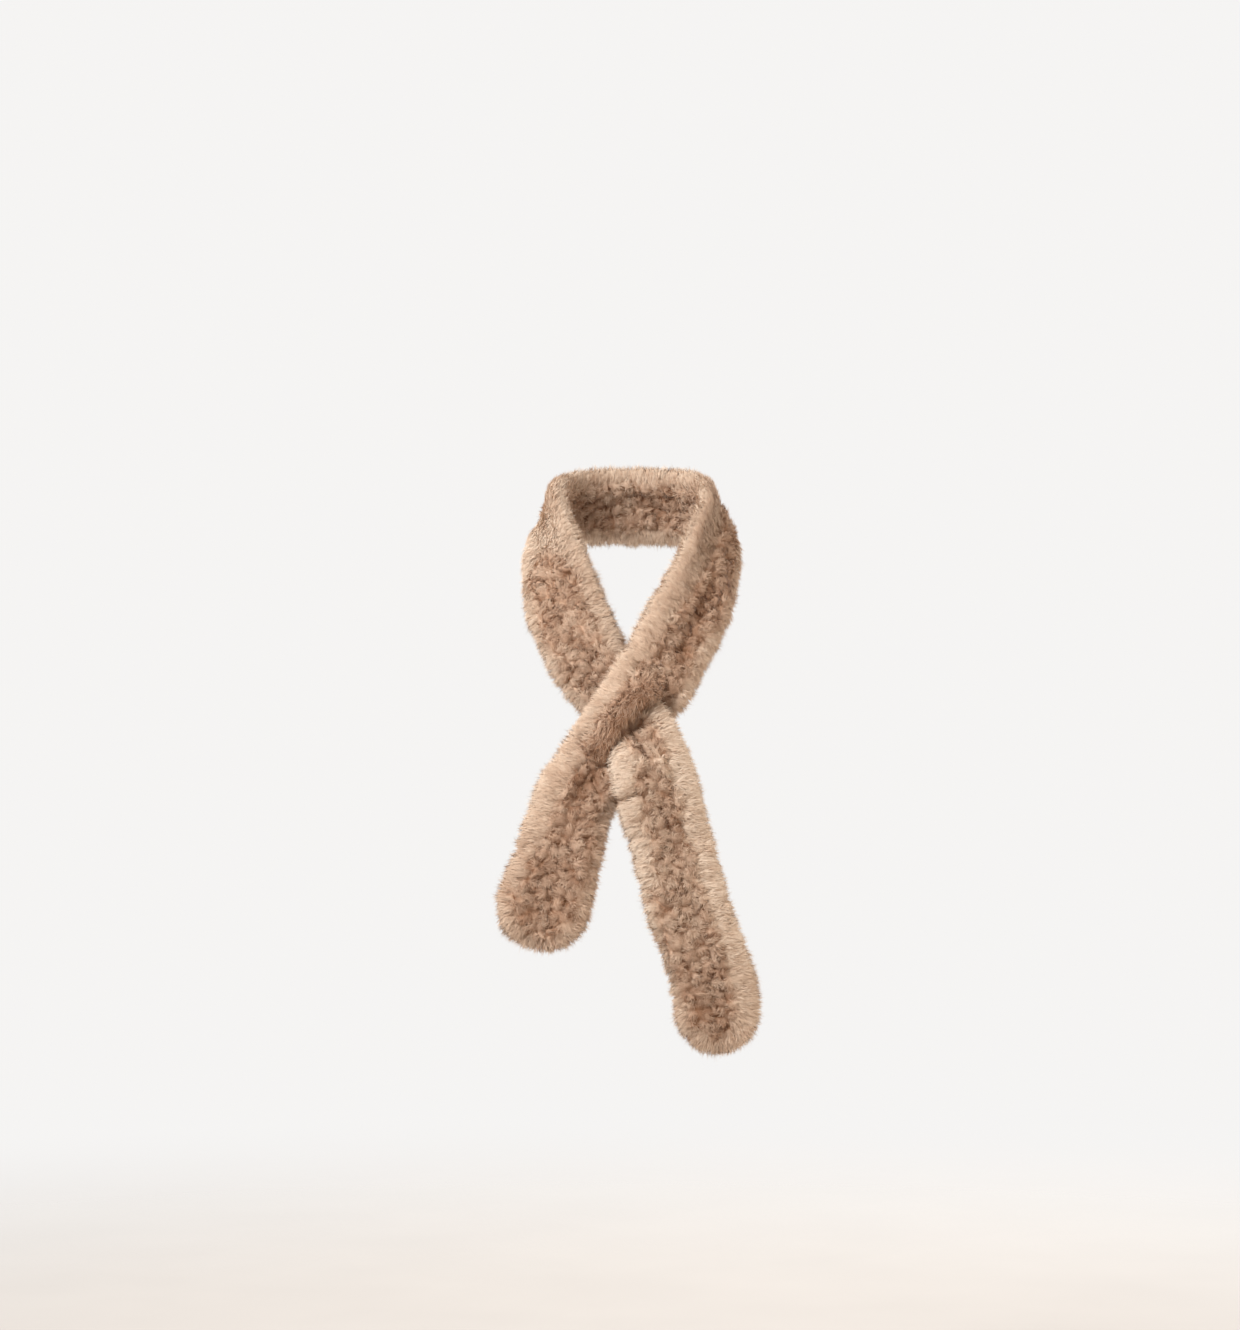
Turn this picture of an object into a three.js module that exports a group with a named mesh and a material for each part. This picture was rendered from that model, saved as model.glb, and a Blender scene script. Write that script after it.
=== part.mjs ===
// Fur collar wrap, in the shape it takes when worn. A band knitted from plush fur, with round ends, goes round
// the neck. Its long tail comes out through a slot in the other end, so the band crosses itself on the chest.
// Sizes are millimetres with +Z up, and the wearer looks along -Y. The origin is on the band's inner face, at
// the middle of the nape.
import * as THREE from "three";

// Driving sizes
const bandWide = 59; // across the band, with the fur of both edges
const bandThick = 18.5; // through the rolled edges, with the fur of both faces
const tailWide = 64; // across the round end of a tail, where the fur fans out
const pressedThick = 14; // where one layer lies on another
const neckWide = 103; // the general figure's neck, side to side
const neckDeep = 112; // and from nape to throat
const seamGap = 0.3; // from one piece to the next
const slotBandWide = { over: 36.5, under: bandWide - 36.5 - seamGap }; // the two sides of the slot

// How finely the solids are made
const pointsRound = 24; // in a ring round the band
const ringStep = 8.5; // between rings along the band
const endRings = [0.012, 0.06, 0.15, 0.28, 0.45, 0.66, 0.86]; // shares of a round end's radius, from the tip

// The section is a flat oval with rolled edges and a dished middle
const ovalPower = 2.7;
const dishDeep = 0.2; // share by which the knit is thinner than the rolled edges

const degree = Math.PI / 180;

// Turns rows of numbers into rows of named values.
function table(columns, rows) {
  return rows.map((row) => Object.fromEntries(columns.map((name, i) => [name, row[i]])));
}

const neckSide = neckWide / 2;
const half = neckDeep / 2;
const napeLift = 14; // how far the band's face leans upwards at the nape, in degrees
const napeOut = (bandThick / 2) * (1 - dishDeep); // from its inner face to its middle
const napeY = napeOut * Math.cos(napeLift * degree);
const napeZ = napeOut * Math.sin(napeLift * degree);

// The band's route over the figure, from the short tail's tip round the neck to the long tail's tip. x, y and z
// are its middle. turn is where its outer face looks, in degrees from the front towards +X, and lift is how far
// that face leans upwards. fold is the depth of the crease that runs down the outer face below the slot.
const route = table(
  ["place", "x", "y", "z", "turn", "lift", "wide", "thick", "fold"],
  [
    ["short tip", -73, -180, -328.5, -6, -2, tailWide + 2, bandThick, 0],
    ["short end", -63.5, -181, -293, -6, 1, tailWide + 2, bandThick, 0],
    ["short tail", -53.5, -178.5, -257, -3, 7, bandWide + 2, bandThick, 0],
    ["short top", -43, -172.4, -222, 3, 13, bandWide - 1, bandThick - 1.5, 0],
    ["slot low", -26, -169.5, -195.5, 3, 19, bandWide, pressedThick + 1, 0],
    ["slot middle", -8.5, -164, -167, 8, 22, bandWide, pressedThick + 1, 0],
    ["slot high", 16, -152.5, -132, 25, 23, bandWide, pressedThick + 2, 0],
    ["right chest", 31.5, -135.5, -103, 31, 24, bandWide, bandThick, 0],
    ["right throat", 51, -109, -66, 47, 26, bandWide, bandThick, 0],
    ["right side", neckSide + 13, -half - 15, -26, 70, 24, bandWide, bandThick, 0],
    ["right neck", neckSide + 12.5, -half + 9, -7.5, 95, 23, bandWide, bandThick, 0],
    ["right back", neckSide - 4, -half + 49, -1.5, 134, 18, bandWide, bandThick, 0],
    ["nape", 0, napeY, napeZ, 180, napeLift, bandWide, bandThick, 0],
    ["left back", 4 - neckSide, -half + 49, -1.5, 226, 18, bandWide, bandThick, 0],
    ["left neck", -neckSide - 12.5, -half + 9, -7.5, 265, 23, bandWide, bandThick, 0],
    ["left side", -neckSide - 12.5, -half - 15, -27, 291, 24, bandWide, bandThick, 0],
    ["left throat", -neckSide - 5.5, -98, -56, 318, 27, bandWide, bandThick, 0],
    ["left chest", -44, -126, -94, 342, 25, bandWide - 1, bandThick, 0],
    ["under edge", -24, -142.5, -132.5, 353, 22, bandWide - 4, bandThick - 1.5, 0],
    ["under middle", -8.5, -148, -150.5, 355, 22, bandWide - 13, pressedThick - 0.5, 0],
    ["slot exit", 5, -165, -164.5, 351, 24, bandWide - 16, pressedThick - 1.5, 5],
    ["tail top", 14.5, -177.5, -191, 369, 14, bandWide - 6, pressedThick + 1.5, 3],
    ["tail shoulder", 20.5, -180, -221, 369, 8, bandWide, bandThick - 1, 0.5],
    ["tail upper", 30, -179.5, -257, 365, 5, bandWide, bandThick, 0],
    ["tail middle", 39, -181, -293, 365, 2, bandWide, bandThick, 0],
    ["tail lower", 51, -181, -329, 365, 0, bandWide + 1, bandThick, 0],
    ["long end", 61, -180.5, -365, 365, -1, tailWide - 2, bandThick, 0],
    ["long tip", 64.5, -180, -404, 365, -2, tailWide - 2, bandThick, 0],
  ],
);

// How the two sides of the slot leave the band's middle: at is the share of the slot's length from its low end,
// out is along the outer face, and roll turns the strip about its own length.
const slotBands = {
  over: table(
    ["at", "out", "roll", "wide", "thick"],
    [
      [0, 0, 0, slotBandWide.over, pressedThick],
      [0.22, 5.5, -18, slotBandWide.over - 2, pressedThick - 1],
      [0.45, 8, -25, slotBandWide.over - 1.5, pressedThick - 1],
      [0.7, 7.5, -22, slotBandWide.over - 1.5, pressedThick - 0.5],
      [0.86, 5, -12, slotBandWide.over - 0.5, pressedThick],
      [1, 0, 0, slotBandWide.over, pressedThick + 2],
    ],
  ),
  under: table(
    ["at", "out", "roll", "wide", "thick"],
    [
      [0, -0.7, 0, slotBandWide.under, pressedThick - 2.5],
      [0.2, -8.6, -8, slotBandWide.under + 4, pressedThick - 3],
      [0.45, -9, -8, slotBandWide.under + 2, pressedThick - 3],
      [0.7, -13.5, -13, slotBandWide.under - 3, pressedThick - 3.5],
      [0.86, -9.5, -10, slotBandWide.under - 2, pressedThick - 2],
      [1, 0, 0, slotBandWide.under, pressedThick + 1],
    ],
  ),
};

// A smooth value between rows, through each row's own.
function smoothValue(rows, key, position) {
  const last = rows.length - 1;
  const i = Math.min(Math.max(Math.floor(position), 0), last - 1);
  const t = position - i;
  const value = (k) => rows[Math.min(Math.max(k, 0), last)][key];
  const [before, start, end, after] = [value(i - 1), value(i), value(i + 1), value(i + 2)];
  const leave = (end - before) / 2;
  const arrive = (after - start) / 2;
  return (
    (2 * t ** 3 - 3 * t ** 2 + 1) * start +
    (t ** 3 - 2 * t ** 2 + t) * leave +
    (3 * t ** 2 - 2 * t ** 3) * end +
    (t ** 3 - t ** 2) * arrive
  );
}

const rowOf = (place) => route.findIndex((row) => row.place === place);

const middleAt = (u) =>
  new THREE.Vector3(smoothValue(route, "x", u), smoothValue(route, "y", u), smoothValue(route, "z", u));

// The band at row position u: its middle, its length direction, its outer face's normal and the way across it,
// which points to the outer edge.
function stationAt(u) {
  const step = 0.01;
  const last = route.length - 1;
  const along = middleAt(Math.min(u + step, last)).sub(middleAt(Math.max(u - step, 0))).normalize();
  const turn = smoothValue(route, "turn", u) * degree;
  const lift = smoothValue(route, "lift", u) * degree;
  const face = new THREE.Vector3(
    Math.sin(turn) * Math.cos(lift),
    -Math.cos(turn) * Math.cos(lift),
    Math.sin(lift),
  );
  face.addScaledVector(along, -face.dot(along)).normalize();
  const across = new THREE.Vector3().crossVectors(along, face).normalize();
  const sizes = Object.fromEntries(["wide", "thick", "fold"].map((key) => [key, smoothValue(route, key, u)]));
  return { middle: middleAt(u), along, face, across, ...sizes };
}

// Lengths along the route, so that rings and seams can be placed by millimetres.
const samplesPerRow = 40;
const lengths = [0];
for (let k = 1; k <= (route.length - 1) * samplesPerRow; k++) {
  const here = middleAt(k / samplesPerRow);
  lengths.push(lengths[k - 1] + here.distanceTo(middleAt((k - 1) / samplesPerRow)));
}
const bandLong = lengths[lengths.length - 1];

function rowPositionAt(length) {
  const k = Math.min(Math.max(lengths.findIndex((value) => value >= length), 1), lengths.length - 1);
  const share = (length - lengths[k - 1]) / (lengths[k] - lengths[k - 1]);
  return (k - 1 + share) / samplesPerRow;
}

const lengthAt = (place) => lengths[rowOf(place) * samplesPerRow];

// One ring round a strip. The angle starts at the outer edge and runs over the outer face first.
function ring(station, { shrink = 1, flatten = 1 } = {}) {
  const { middle, face, across, wide, thick, fold } = station;
  const foldPlace = 0.12 * wide;
  const foldSpread = 0.12 * wide;
  const points = [];
  for (let k = 0; k < pointsRound; k++) {
    const angle = (2 * Math.PI * k) / pointsRound;
    const c = Math.cos(angle);
    const s = Math.sin(angle);
    const w = Math.sign(c) * Math.abs(c) ** (2 / ovalPower);
    const n = Math.sign(s) * Math.abs(s) ** (2 / ovalPower);
    const dished = 1 - dishDeep * (1 - w * w) ** 2;
    const w0 = (wide / 2) * w * shrink;
    const crease = s > 0 ? fold * Math.exp(-(((w0 - foldPlace) / foldSpread) ** 2)) : 0;
    const n0 = ((thick / 2) * n * dished - crease) * flatten;
    points.push(middle.clone().addScaledVector(across, w0).addScaledVector(face, n0));
  }
  return points;
}

// A closed solid through rings, with a flat fan at each end.
function solidThrough(rings) {
  const positions = [];
  const faces = [];
  const count = rings.length;
  for (const p of rings.flat()) positions.push(p.x, p.y, p.z);
  for (const points of [rings[0], rings[count - 1]]) {
    const centre = new THREE.Vector3();
    for (const p of points) centre.addScaledVector(p, 1 / points.length);
    positions.push(centre.x, centre.y, centre.z);
  }
  const firstCentre = count * pointsRound;
  for (let r = 0; r < count - 1; r++) {
    for (let k = 0; k < pointsRound; k++) {
      const a = r * pointsRound + k;
      const b = r * pointsRound + ((k + 1) % pointsRound);
      faces.push(a, a + pointsRound, b, b, a + pointsRound, b + pointsRound);
    }
  }
  for (let k = 0; k < pointsRound; k++) {
    const next = (k + 1) % pointsRound;
    const lastRing = (count - 1) * pointsRound;
    faces.push(firstCentre, k, next, firstCentre + 1, lastRing + next, lastRing + k);
  }
  const geometry = new THREE.BufferGeometry();
  geometry.setAttribute("position", new THREE.Float32BufferAttribute(positions, 3));
  geometry.setIndex(faces);
  return geometry;
}

// Even steps from one length to another, both included.
function evenSteps(from, to) {
  const count = Math.max(2, Math.round((to - from) / ringStep));
  return Array.from({ length: count + 1 }, (_, k) => from + ((to - from) * k) / count);
}

// A piece's last ring keeps half a seam's gap from its neighbour.
const seamShift = (length, from, to) =>
  length === from ? seamGap / 2 : length === to ? -seamGap / 2 : 0;

// The share of full width, or of full thickness, at a distance from a round end of that radius.
const roundOff = (distance, radius) =>
  distance >= radius ? 1 : Math.sqrt(Math.max(1 - (1 - distance / radius) ** 2, 0.0001));

// A stretch of the whole band between two lengths. A tail's tip is round across the band and through it.
function stretch(from, to) {
  const tips = { low: from <= 0, high: to >= bandLong };
  const radius = tailWide / 2;
  const places = evenSteps(tips.low ? radius : from, tips.high ? bandLong - radius : to);
  if (tips.low) places.unshift(...endRings.map((share) => share * radius));
  if (tips.high) places.push(...endRings.map((share) => bandLong - share * radius).reverse());
  const rings = places.map((length) => {
    const station = stationAt(rowPositionAt(length));
    station.middle.addScaledVector(station.along, seamShift(length, from, to));
    const toTip = Math.min(tips.low ? length : Infinity, tips.high ? bandLong - length : Infinity);
    return ring(station, {
      shrink: roundOff(toTip, radius),
      flatten: roundOff(toTip, bandThick * 0.6),
    });
  });
  return solidThrough(rings);
}

// One side of the slot. It keeps to its own edge of the band and bends off the band's middle as its rows say.
function slotBand(side) {
  const rows = slotBands[side];
  const edge = side === "over" ? -1 : 1;
  const from = lengthAt("slot low");
  const to = lengthAt("slot high");
  const rings = evenSteps(from, to).map((length) => {
    const at = (length - from) / (to - from);
    const row = rows.findIndex((r, i) => i === rows.length - 2 || rows[i + 1].at > at);
    const position = row + (at - rows[row].at) / (rows[row + 1].at - rows[row].at);
    const value = (key) => smoothValue(rows, key, position);
    const station = stationAt(rowPositionAt(length));
    const roll = value("roll") * degree;
    const middle = station.middle
      .clone()
      .addScaledVector(station.along, seamShift(length, from, to))
      .addScaledVector(station.across, (edge * (station.wide - value("wide"))) / 2)
      .addScaledVector(station.face, value("out"));
    const across = station.across.clone().applyAxisAngle(station.along, roll);
    const face = station.face.clone().applyAxisAngle(station.along, roll);
    return ring({ middle, across, face, wide: value("wide"), thick: value("thick"), fold: 0 });
  });
  return solidThrough(rings);
}

const plush = { color: 0xb8967e, roughness: 0.95, metalness: 0 };
const plushShaded = { color: 0xa98a74, roughness: 0.95, metalness: 0 };

function piece(name, geometry, finish) {
  const mesh = new THREE.Mesh(geometry, new THREE.MeshStandardMaterial(finish));
  mesh.name = name;
  return mesh;
}

// The left stretch ends out of sight, under the slot's upper side.
const tailStart = lengthAt("under middle") + 4;

const collarWrap = new THREE.Group();
collarWrap.add(
  piece("short_tail", stretch(0, lengthAt("slot low")), plush),
  piece("slot_over_band", slotBand("over"), plush),
  piece("slot_under_band", slotBand("under"), plushShaded),
  piece("right_front", stretch(lengthAt("slot high"), lengthAt("right side")), plushShaded),
  piece("neck_band", stretch(lengthAt("right side"), lengthAt("left side")), plush),
  piece("left_front", stretch(lengthAt("left side"), tailStart), plush),
  piece("long_tail", stretch(tailStart, bandLong), plush),
);

export default collarWrap;
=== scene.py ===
import bpy
import math
import numpy as np
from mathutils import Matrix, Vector


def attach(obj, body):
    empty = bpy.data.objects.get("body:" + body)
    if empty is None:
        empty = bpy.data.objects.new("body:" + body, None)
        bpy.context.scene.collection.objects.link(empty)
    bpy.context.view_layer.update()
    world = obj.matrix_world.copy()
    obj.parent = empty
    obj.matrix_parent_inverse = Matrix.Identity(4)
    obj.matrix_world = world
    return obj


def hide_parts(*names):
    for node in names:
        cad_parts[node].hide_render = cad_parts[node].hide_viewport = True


# a pull-through neck wrap of knitted plush fur, as worn: a skin with knit and rolls on each solid, and fur
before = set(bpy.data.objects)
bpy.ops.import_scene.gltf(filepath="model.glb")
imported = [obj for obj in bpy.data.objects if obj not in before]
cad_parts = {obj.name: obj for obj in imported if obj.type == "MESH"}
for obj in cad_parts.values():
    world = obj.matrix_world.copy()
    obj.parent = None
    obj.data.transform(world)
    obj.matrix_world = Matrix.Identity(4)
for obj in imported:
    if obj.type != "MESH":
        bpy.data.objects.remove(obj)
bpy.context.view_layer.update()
print("stage: frame loaded")

# everything below is worked out in millimetres and written in metres
mm = 0.001

# the camera looks straight from the front, as in the photo
cameraSetting = {"place": (-9.2, -2600, -122.5), "lens": 90.2, "sensor": 36, "farthest": 100}

bpy.ops.object.select_all(action="DESELECT")
bpy.ops.object.camera_add(location=[v * mm for v in cameraSetting["place"]], rotation=(math.pi / 2, 0, 0))
camera = bpy.context.object
camera.name = "photoCamera"
camera.data.sensor_width = cameraSetting["sensor"]
camera.data.lens = cameraSetting["lens"]
camera.data.clip_end = cameraSetting["farthest"]
bpy.context.scene.camera = camera
print("stage: camera")

# the band's driving sizes, as in the part's source, and a general figure's neck
bandSize = {
    "wide": 59, "thick": 18.5,  # with the fur of both edges and both faces
    "tailWide": 64,  # across a round end, where the fur fans out
    "pressed": 14,  # thickness where one layer lies on another
    "slotOver": 36.5, "slotUnder": 22.2,  # the slot's two sides, across
    "ovalPower": 2.7,  # the form of the section
    "neckSide": 51.5, "neckHalf": 56,  # half of the neck's width and depth
    "napeLift": 14,  # how far the band leans up at the nape, in degrees
    "napeThin": 0.2,  # share by which the band's middle is thinner there
}
wide, thick, tailWide, pressed = (bandSize[k] for k in ("wide", "thick", "tailWide", "pressed"))
side, half = bandSize["neckSide"], bandSize["neckHalf"]
napeLift = math.radians(bandSize["napeLift"])
napeOut = thick / 2 * (1 - bandSize["napeThin"])  # from the inner face to the middle
napeY, napeZ = napeOut * math.cos(napeLift), napeOut * math.sin(napeLift)

# the route from the short tail's tip round the neck to the long tail's tip. x, y and z are the band's middle,
# turn is where its outer face looks, in degrees from the front towards +X, lift is how far that face leans
# upwards, and fold is the depth of the crease below the slot
routeColumns = ("place", "x", "y", "z", "turn", "lift", "wide", "thick", "fold")
routeRows = [
    ("short tip", -73, -180, -328.5, -6, -2, tailWide + 2, thick, 0),
    ("short end", -63.5, -181, -293, -6, 1, tailWide + 2, thick, 0),
    ("short tail", -53.5, -178.5, -257, -3, 7, wide + 2, thick, 0),
    ("short top", -43, -172.4, -222, 3, 13, wide - 1, thick - 1.5, 0),
    ("slot low", -26, -169.5, -195.5, 3, 19, wide, pressed + 1, 0),
    ("slot middle", -8.5, -164, -167, 8, 22, wide, pressed + 1, 0),
    ("slot high", 16, -152.5, -132, 25, 23, wide, pressed + 2, 0),
    ("right chest", 31.5, -135.5, -103, 31, 24, wide, thick, 0),
    ("right throat", 51, -109, -66, 47, 26, wide, thick, 0),
    ("right side", side + 13, -half - 15, -26, 70, 24, wide, thick, 0),
    ("right neck", side + 12.5, -half + 9, -7.5, 95, 23, wide, thick, 0),
    ("right back", side - 4, -half + 49, -1.5, 134, 18, wide, thick, 0),
    ("nape", 0, napeY, napeZ, 180, bandSize["napeLift"], wide, thick, 0),
    ("left back", 4 - side, -half + 49, -1.5, 226, 18, wide, thick, 0),
    ("left neck", -side - 12.5, -half + 9, -7.5, 265, 23, wide, thick, 0),
    ("left side", -side - 12.5, -half - 15, -27, 291, 24, wide, thick, 0),
    ("left throat", -side - 5.5, -98, -56, 318, 27, wide, thick, 0),
    ("left chest", -44, -126, -94, 342, 25, wide - 1, thick, 0),
    ("under edge", -24, -142.5, -132.5, 353, 22, wide - 4, thick - 1.5, 0),
    ("under middle", -8.5, -148, -150.5, 355, 22, wide - 13, pressed - 0.5, 0),
    ("slot exit", 5, -165, -164.5, 351, 24, wide - 16, pressed - 1.5, 5),
    ("tail top", 14.5, -177.5, -191, 369, 14, wide - 6, pressed + 1.5, 3),
    ("tail shoulder", 20.5, -180, -221, 369, 8, wide, thick - 1, 0.5),
    ("tail upper", 30, -179.5, -257, 365, 5, wide, thick, 0),
    ("tail middle", 39, -181, -293, 365, 2, wide, thick, 0),
    ("tail lower", 51, -181, -329, 365, 0, wide + 1, thick, 0),
    ("long end", 61, -180.5, -365, 365, -1, tailWide - 2, thick, 0),
    ("long tip", 64.5, -180, -404, 365, -2, tailWide - 2, thick, 0),
]
placeRow = {row[0]: i for i, row in enumerate(routeRows)}
route = {name: np.array([row[i] for row in routeRows], float)
         for i, name in enumerate(routeColumns) if name != "place"}

# how the slot's two sides leave the band's middle: at is the share of the slot's length from its low end,
# out is along the outer face, and roll turns the strip about its own length
slotColumns = ("at", "out", "roll", "wide", "thick")
over, under = bandSize["slotOver"], bandSize["slotUnder"]
slotRows = {
    "over": [
        (0, 0, 0, over, pressed),
        (0.22, 5.5, -18, over - 2, pressed - 1),
        (0.45, 8, -25, over - 1.5, pressed - 1),
        (0.7, 7.5, -22, over - 1.5, pressed - 0.5),
        (0.86, 5, -12, over - 0.5, pressed),
        (1, 0, 0, over, pressed + 2),
    ],
    "under": [
        (0, -0.7, 0, under, pressed - 2.5),
        (0.2, -8.6, -8, under + 4, pressed - 3),
        (0.45, -9, -8, under + 2, pressed - 3),
        (0.7, -13.5, -13, under - 3, pressed - 3.5),
        (0.86, -9.5, -10, under - 2, pressed - 2),
        (1, 0, 0, under, pressed + 1),
    ],
}


def sizeOf(v):
    return np.linalg.norm(v, axis=-1, keepdims=True)


def unit(v):
    return v / np.maximum(sizeOf(v), 1e-9)


def smoothStep(low, high, value):
    t = np.clip((value - low) / (high - low), 0, 1)
    return t * t * (3 - 2 * t)


def smoothValue(values, position):  # a smooth value between rows, through each row's own
    last = len(values) - 1
    i = np.clip(np.floor(position).astype(int), 0, last - 1)
    t = position - i
    before, start, end, after = (values[np.clip(i + k, 0, last)] for k in (-1, 0, 1, 2))
    return ((2 * t**3 - 3 * t**2 + 1) * start + (t**3 - 2 * t**2 + t) * (end - before) / 2
            + (3 * t**2 - 2 * t**3) * end + (t**3 - t**2) * (after - start) / 2)


def middleAt(u):
    return np.stack([smoothValue(route[k], u) for k in "xyz"], -1)


perRow = 40
sampleRows = np.arange((len(routeRows) - 1) * perRow + 1) / perRow
sampleSteps = np.linalg.norm(np.diff(middleAt(sampleRows), axis=0), axis=1)
sampleLengths = np.concatenate([[0], np.cumsum(sampleSteps)])
bandLong = sampleLengths[-1]
print(f"stage: route, {bandLong:.0f} mm along the band's middle")


def lengthAt(place, shift=0):
    return sampleLengths[placeRow[place] * perRow] + shift


def stationAt(length):  # the band's middle, directions and sizes
    u = np.interp(length, sampleLengths, sampleRows)
    step, last = 0.01, len(routeRows) - 1
    along = unit(middleAt(np.minimum(u + step, last)) - middleAt(np.maximum(u - step, 0)))
    turn, lift = (np.radians(smoothValue(route[k], u)) for k in ("turn", "lift"))
    face = np.stack([np.sin(turn) * np.cos(lift), -np.cos(turn) * np.cos(lift), np.sin(lift)], -1)
    face = unit(face - along * (face * along).sum(-1, keepdims=True))
    across = unit(np.cross(along, face))
    sizes = {k: smoothValue(route[k], u) for k in ("wide", "thick", "fold")}
    return {"middle": middleAt(u), "along": along, "face": face, "across": across, **sizes}


def turned(v, axis, angle):
    c, s = np.cos(angle)[:, None], np.sin(angle)[:, None]
    return v * c + np.cross(axis, v) * s + axis * (axis * v).sum(-1, keepdims=True) * (1 - c)


def slotShare(length):  # from 0 at the slot's low end to 1 at its high end
    low, high = lengthAt("slot low"), lengthAt("slot high")
    return (length - low) / (high - low)


def slotStationAt(sideName, length):
    rows = {k: np.array([row[i] for row in slotRows[sideName]], float) for i, k in enumerate(slotColumns)}
    position = np.interp(np.clip(slotShare(length), 0, 1), rows["at"], np.arange(len(rows["at"])))
    value = {k: smoothValue(rows[k], position) for k in slotColumns}
    station = stationAt(length)
    shift = (-1 if sideName == "over" else 1) * (station["wide"] - value["wide"]) / 2
    moved = station["across"] * shift[:, None] + station["face"] * value["out"][:, None]
    roll = np.radians(value["roll"])
    return {
        "middle": station["middle"] + moved, "along": station["along"],
        "face": turned(station["face"], station["along"], roll),
        "across": turned(station["across"], station["along"], roll),
        "wide": value["wide"], "thick": value["thick"], "fold": value["wide"] * 0, "shift": shift,
    }


# smooth random fields by what they shape: how many mm a swell takes, and its seed
fieldRows = {
    "raggedWide": (9, 11), "raggedFine": (3.8, 17),  # the knit's border
    "bendAlong": (4.6, 14), "bendAcross": (4.6, 15), "parted": (5.5, 16),  # the gaps between tufts
    "rollSwell": (10, 12), "rollWave": (19, 18), "skinSwell": (26, 13),  # relief
    "stripeBend": (13, 21), "streakBend": (6, 35), "streak": (1.5, 34),  # furrows on the rolls
    "toneWide": (34, 31), "toneMiddle": (8, 32), "toneFine": (1.7, 33),
    "swayFine": (8, 41), "swayWide": (19, 42), "lock": (5.5, 43),  # how the fur lies, and its length
}


def hashed(*cells, seed=0):  # a share from 0 to 1 that is always the same for the same cell
    top = 2**32
    mixed = np.full(np.shape(cells[0]), (seed * 2654435761 + 97) % top, np.uint64)
    for cell, prime in zip(cells, (73856093, 19349663, 83492791)):
        mixed ^= (cell.astype(np.int64) + 70000).astype(np.uint64) * np.uint64(prime)
        for shift, factor in ((15, 2246822519), (13, 3266489917)):
            mixed = (mixed ^ (mixed >> np.uint64(shift))) * np.uint64(factor) % np.uint64(top)
    return ((mixed ^ (mixed >> np.uint64(16))) % np.uint64(top)).astype(float) / top


def fieldAt(points, name):  # from -1 to 1
    size, seed = fieldRows[name]
    p = points / size
    i = np.floor(p)
    t = p - i
    t = t * t * (3 - 2 * t)
    total = 0
    for corner in np.ndindex(*(2,) * p.shape[-1]):
        weight = np.prod([t[..., k] if c else 1 - t[..., k] for k, c in enumerate(corner)], 0)
        total = total + weight * hashed(*[i[..., k] + c for k, c in enumerate(corner)], seed=seed)
    return 2 * total - 1


# the knit's layout and form
knit = {
    "alongStep": 7.2, "acrossStep": 7.7,  # from tuft to tuft
    "jitter": 0.72, "slide": 0.35,  # how far tufts, and whole columns, are out of line, in steps
    "tuftSize": (0.86, 0.34),  # the least, and how much more
    "tuftReach": 0.9,  # from a tuft's middle to its border, in steps
    "leanReach": 3.4,  # and to the end that it leans to, in mm
    "bend": 2.5,  # how far the tufts' borders wander
    "parted": (0.72, 0.85),  # how clearly two tufts part, and how that varies
    "gapWide": (0.02, 0.4),  # in steps
    # painted shade: the gaps between tufts are painted darker, most at the end that a tuft leans to
    "gapShade": (0.66, 0.95, 0.18),  # as it is, more at the leaning end, and the least
    "high": 3.8,  # a tuft over the gaps beside it
    "dome": (0.3, 0.7), "domePower": 0.8,  # share of its height at its border, and the rest at its middle
    "highPlain": 0.95, "highVary": 0.55, "gapLow": 0.65,
    "leanHigh": 0.3, "leanShare": (0.4, 0.6),  # higher where it leans
    "dish": 0.62,  # how much thinner the knit's ground is than the rolls
    "insetEdge": 3.6, "insetFace": 2.0,  # the skin lies this far inside the fur's reach
    "innerEdge": 12.5,  # the smooth roll along each edge on the inner face
    "ragged": 3.0, "raggedFine": 0.9,  # how far the knit's border wanders
    "raggedWhole": 13,  # on rolls at least this wide
    "border": (-1.4, 2.4),  # over which the knit takes over from a roll
    "turnOver": (0.05, 0.4),  # and by how far the section's face has turned outwards
    "room": 9,  # the least width between two rolls that shows its whole knit
    "meet": 13,  # closer than this, the fur between two rolls lies down the band
    "sideBlend": 12,  # over which one edge's roll gives way to the other's
    "slotBare": 0.6,  # how far the slot's raw edge has no tufts
}
rolls = {
    "swell": 0.8, "wave": 0.9,
    "stripeStep": 6.5, "stripeDeep": 0.2, "stripeBend": 2.6, "stripeSlant": 0.22,  # furrows across the rolls
    "fringe": 14,  # how far the tufts' furrows run out over a roll
    "fringeHeld": 0.8,  # how far the tufts' pattern is drawn out there
    "fringeHigh": 1.7, "fringeDeep": 1.2,
    "stripeSecond": 0.61, "stripePhase": 1.7,  # a slower wave makes them uneven
    "stripeFade": (1, 5), "stripeInset": 2,  # they fade out at the edge
}
skinSwell = 0.7
creaseDeep = 0.85  # share of a crease's depth that the skin takes
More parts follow.
